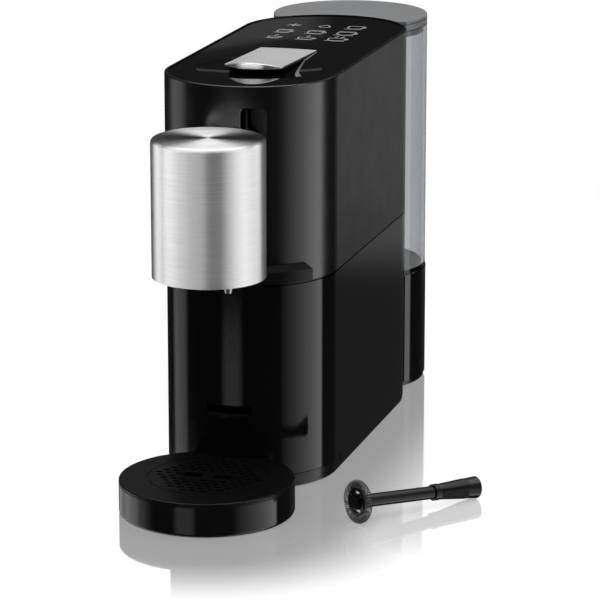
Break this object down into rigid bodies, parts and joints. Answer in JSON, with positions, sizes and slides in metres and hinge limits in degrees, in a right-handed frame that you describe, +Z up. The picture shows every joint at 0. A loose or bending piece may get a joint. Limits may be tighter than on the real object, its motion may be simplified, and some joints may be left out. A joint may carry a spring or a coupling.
{
  "type": "pod coffee machine",
  "caption": "Slim black pod coffee machine with a sliding steel head, lift-up capsule lever, rear water tank, capsule drawer, round drip tray and a loose milk whisk.",
  "frame": {"origin": "on the worktop, at the middle of the foot under the middle of the machine", "axes": "+X to the right seen from the front; +Y to the rear, where the water tank is; +Z up"},
  "size_m": [0.235, 0.4802, 0.291],
  "materials": {
    "satin_grey": "satin, fine moulded grain",
    "gloss_black": "high gloss",
    "panel_black": "gloss touch panel with printed symbols",
    "silver_lever": "satin silver",
    "brushed_steel": "brushed round its axis, spun top",
    "smoke_clear": "clear, smoky",
    "lid_grey": "translucent grey",
    "tray_satin": "satin black",
    "black_plastic": "moulded",
    "whisk_black": "gloss",
    "whisk_wire": "dark drawn wire",
    "steel_bright": "ground",
    "dark_steel": "blackened, ground",
    "heater_alloy": "cast",
    "circuit_green": "lacquered board",
    "black_rubber": "moulded"
  },
  "bodies": {
    "chassis": {"base_plate": "black_plastic", "rubber_feet": "black_rubber", "base_screws": "steel_bright", "lower_housing": "gloss_black", "mid_deck": "black_plastic", "upper_cover": "satin_grey", "top_panel": "panel_black", "brew_frame": "black_plastic", "extraction_plate": "steel_bright", "thermoblock": "heater_alloy", "pump": "black_plastic", "pump_saddle_front": "black_rubber", "pump_saddle_rear": "black_rubber", "flow_meter": "black_plastic", "power_board": "circuit_green", "touch_board": "circuit_green", "head_rail_left": "dark_steel", "head_rail_right": "dark_steel", "feed_hose": "black_rubber", "pressure_hose": "black_rubber", "brew_hose": "black_rubber", "lever_bracket": "black_plastic", "lever_pin": "dark_steel", "tank_pedestal": "gloss_black", "cord_gland": "black_rubber", "water_socket": "black_plastic", "socket_seal": "black_rubber"},
    "head": {"head_shell": "brushed_steel", "head_floor": "black_plastic", "coffee_outlet": "steel_bright", "whisk_motor": "steel_bright", "head_carriage": "black_plastic", "slide_tab": "black_plastic"},
    "spindle": {"whisk_spindle": "steel_bright"},
    "lever": {"lever_plate": "silver_lever", "lever_core": "black_plastic", "lever_crank": "black_plastic"},
    "cage": {"capsule_cage": "black_plastic"},
    "water_tank": {"tank_shell": "smoke_clear", "tank_valve": "black_plastic"},
    "lid": {"tank_lid": "lid_grey"},
    "drawer": {"drawer_front": "gloss_black", "capsule_bin": "black_plastic"},
    "tray": {"drip_tray": "gloss_black"},
    "grid": {"drip_grid": "tray_satin"},
    "whisk": {"whisk_shaft": "whisk_black", "whisk_grip": "whisk_black", "whisk_wheel": "whisk_black", "whisk_coil": "whisk_wire"}
  },
  "joints": [
    {"name": "head_slide", "type": "slide", "parent": "chassis", "child": "head", "axis": [0, 0, 1], "range_m": [0, 0.085]},
    {"name": "spindle_spin", "type": "hinge", "parent": "head", "child": "spindle", "pos_m": [0, -0.1712, 0.1735], "axis": [0, 0, -1], "continuous": true},
    {"name": "lever_hinge", "type": "hinge", "parent": "chassis", "child": "lever", "pos_m": [0, 0.014, 0.2802], "axis": [-1, 0, 0], "range_deg": [0, 80]},
    {"name": "cage_slide", "type": "slide", "parent": "chassis", "child": "cage", "axis": [0, 1, 0], "range_m": [0, 0.0245]},
    {"name": "tank_lift", "type": "slide", "parent": "chassis", "child": "water_tank", "axis": [0, 0, 1], "range_m": [0, 0.2]},
    {"name": "lid_lift", "type": "slide", "parent": "water_tank", "child": "lid", "axis": [0, 0, 1], "range_m": [0, 0.06]},
    {"name": "drawer_slide", "type": "slide", "parent": "chassis", "child": "drawer", "axis": [0, -1, 0], "range_m": [0, 0.13]},
    {"name": "tray_slide", "type": "slide", "parent": "drawer", "child": "tray", "axis": [0, -1, 0], "range_m": [0, 0.06]},
    {"name": "grid_lift", "type": "slide", "parent": "tray", "child": "grid", "axis": [0, 0, 1], "range_m": [0, 0.04]},
    {"name": "whisk_lift", "type": "slide", "parent": "chassis", "child": "whisk", "axis": [0, 0, 1], "range_m": [0, 0.1]}
  ],
  "couplings": [
    {"joint": "cage_slide", "follows": "lever_hinge", "m_per_rad": 0.01718}
  ]
}
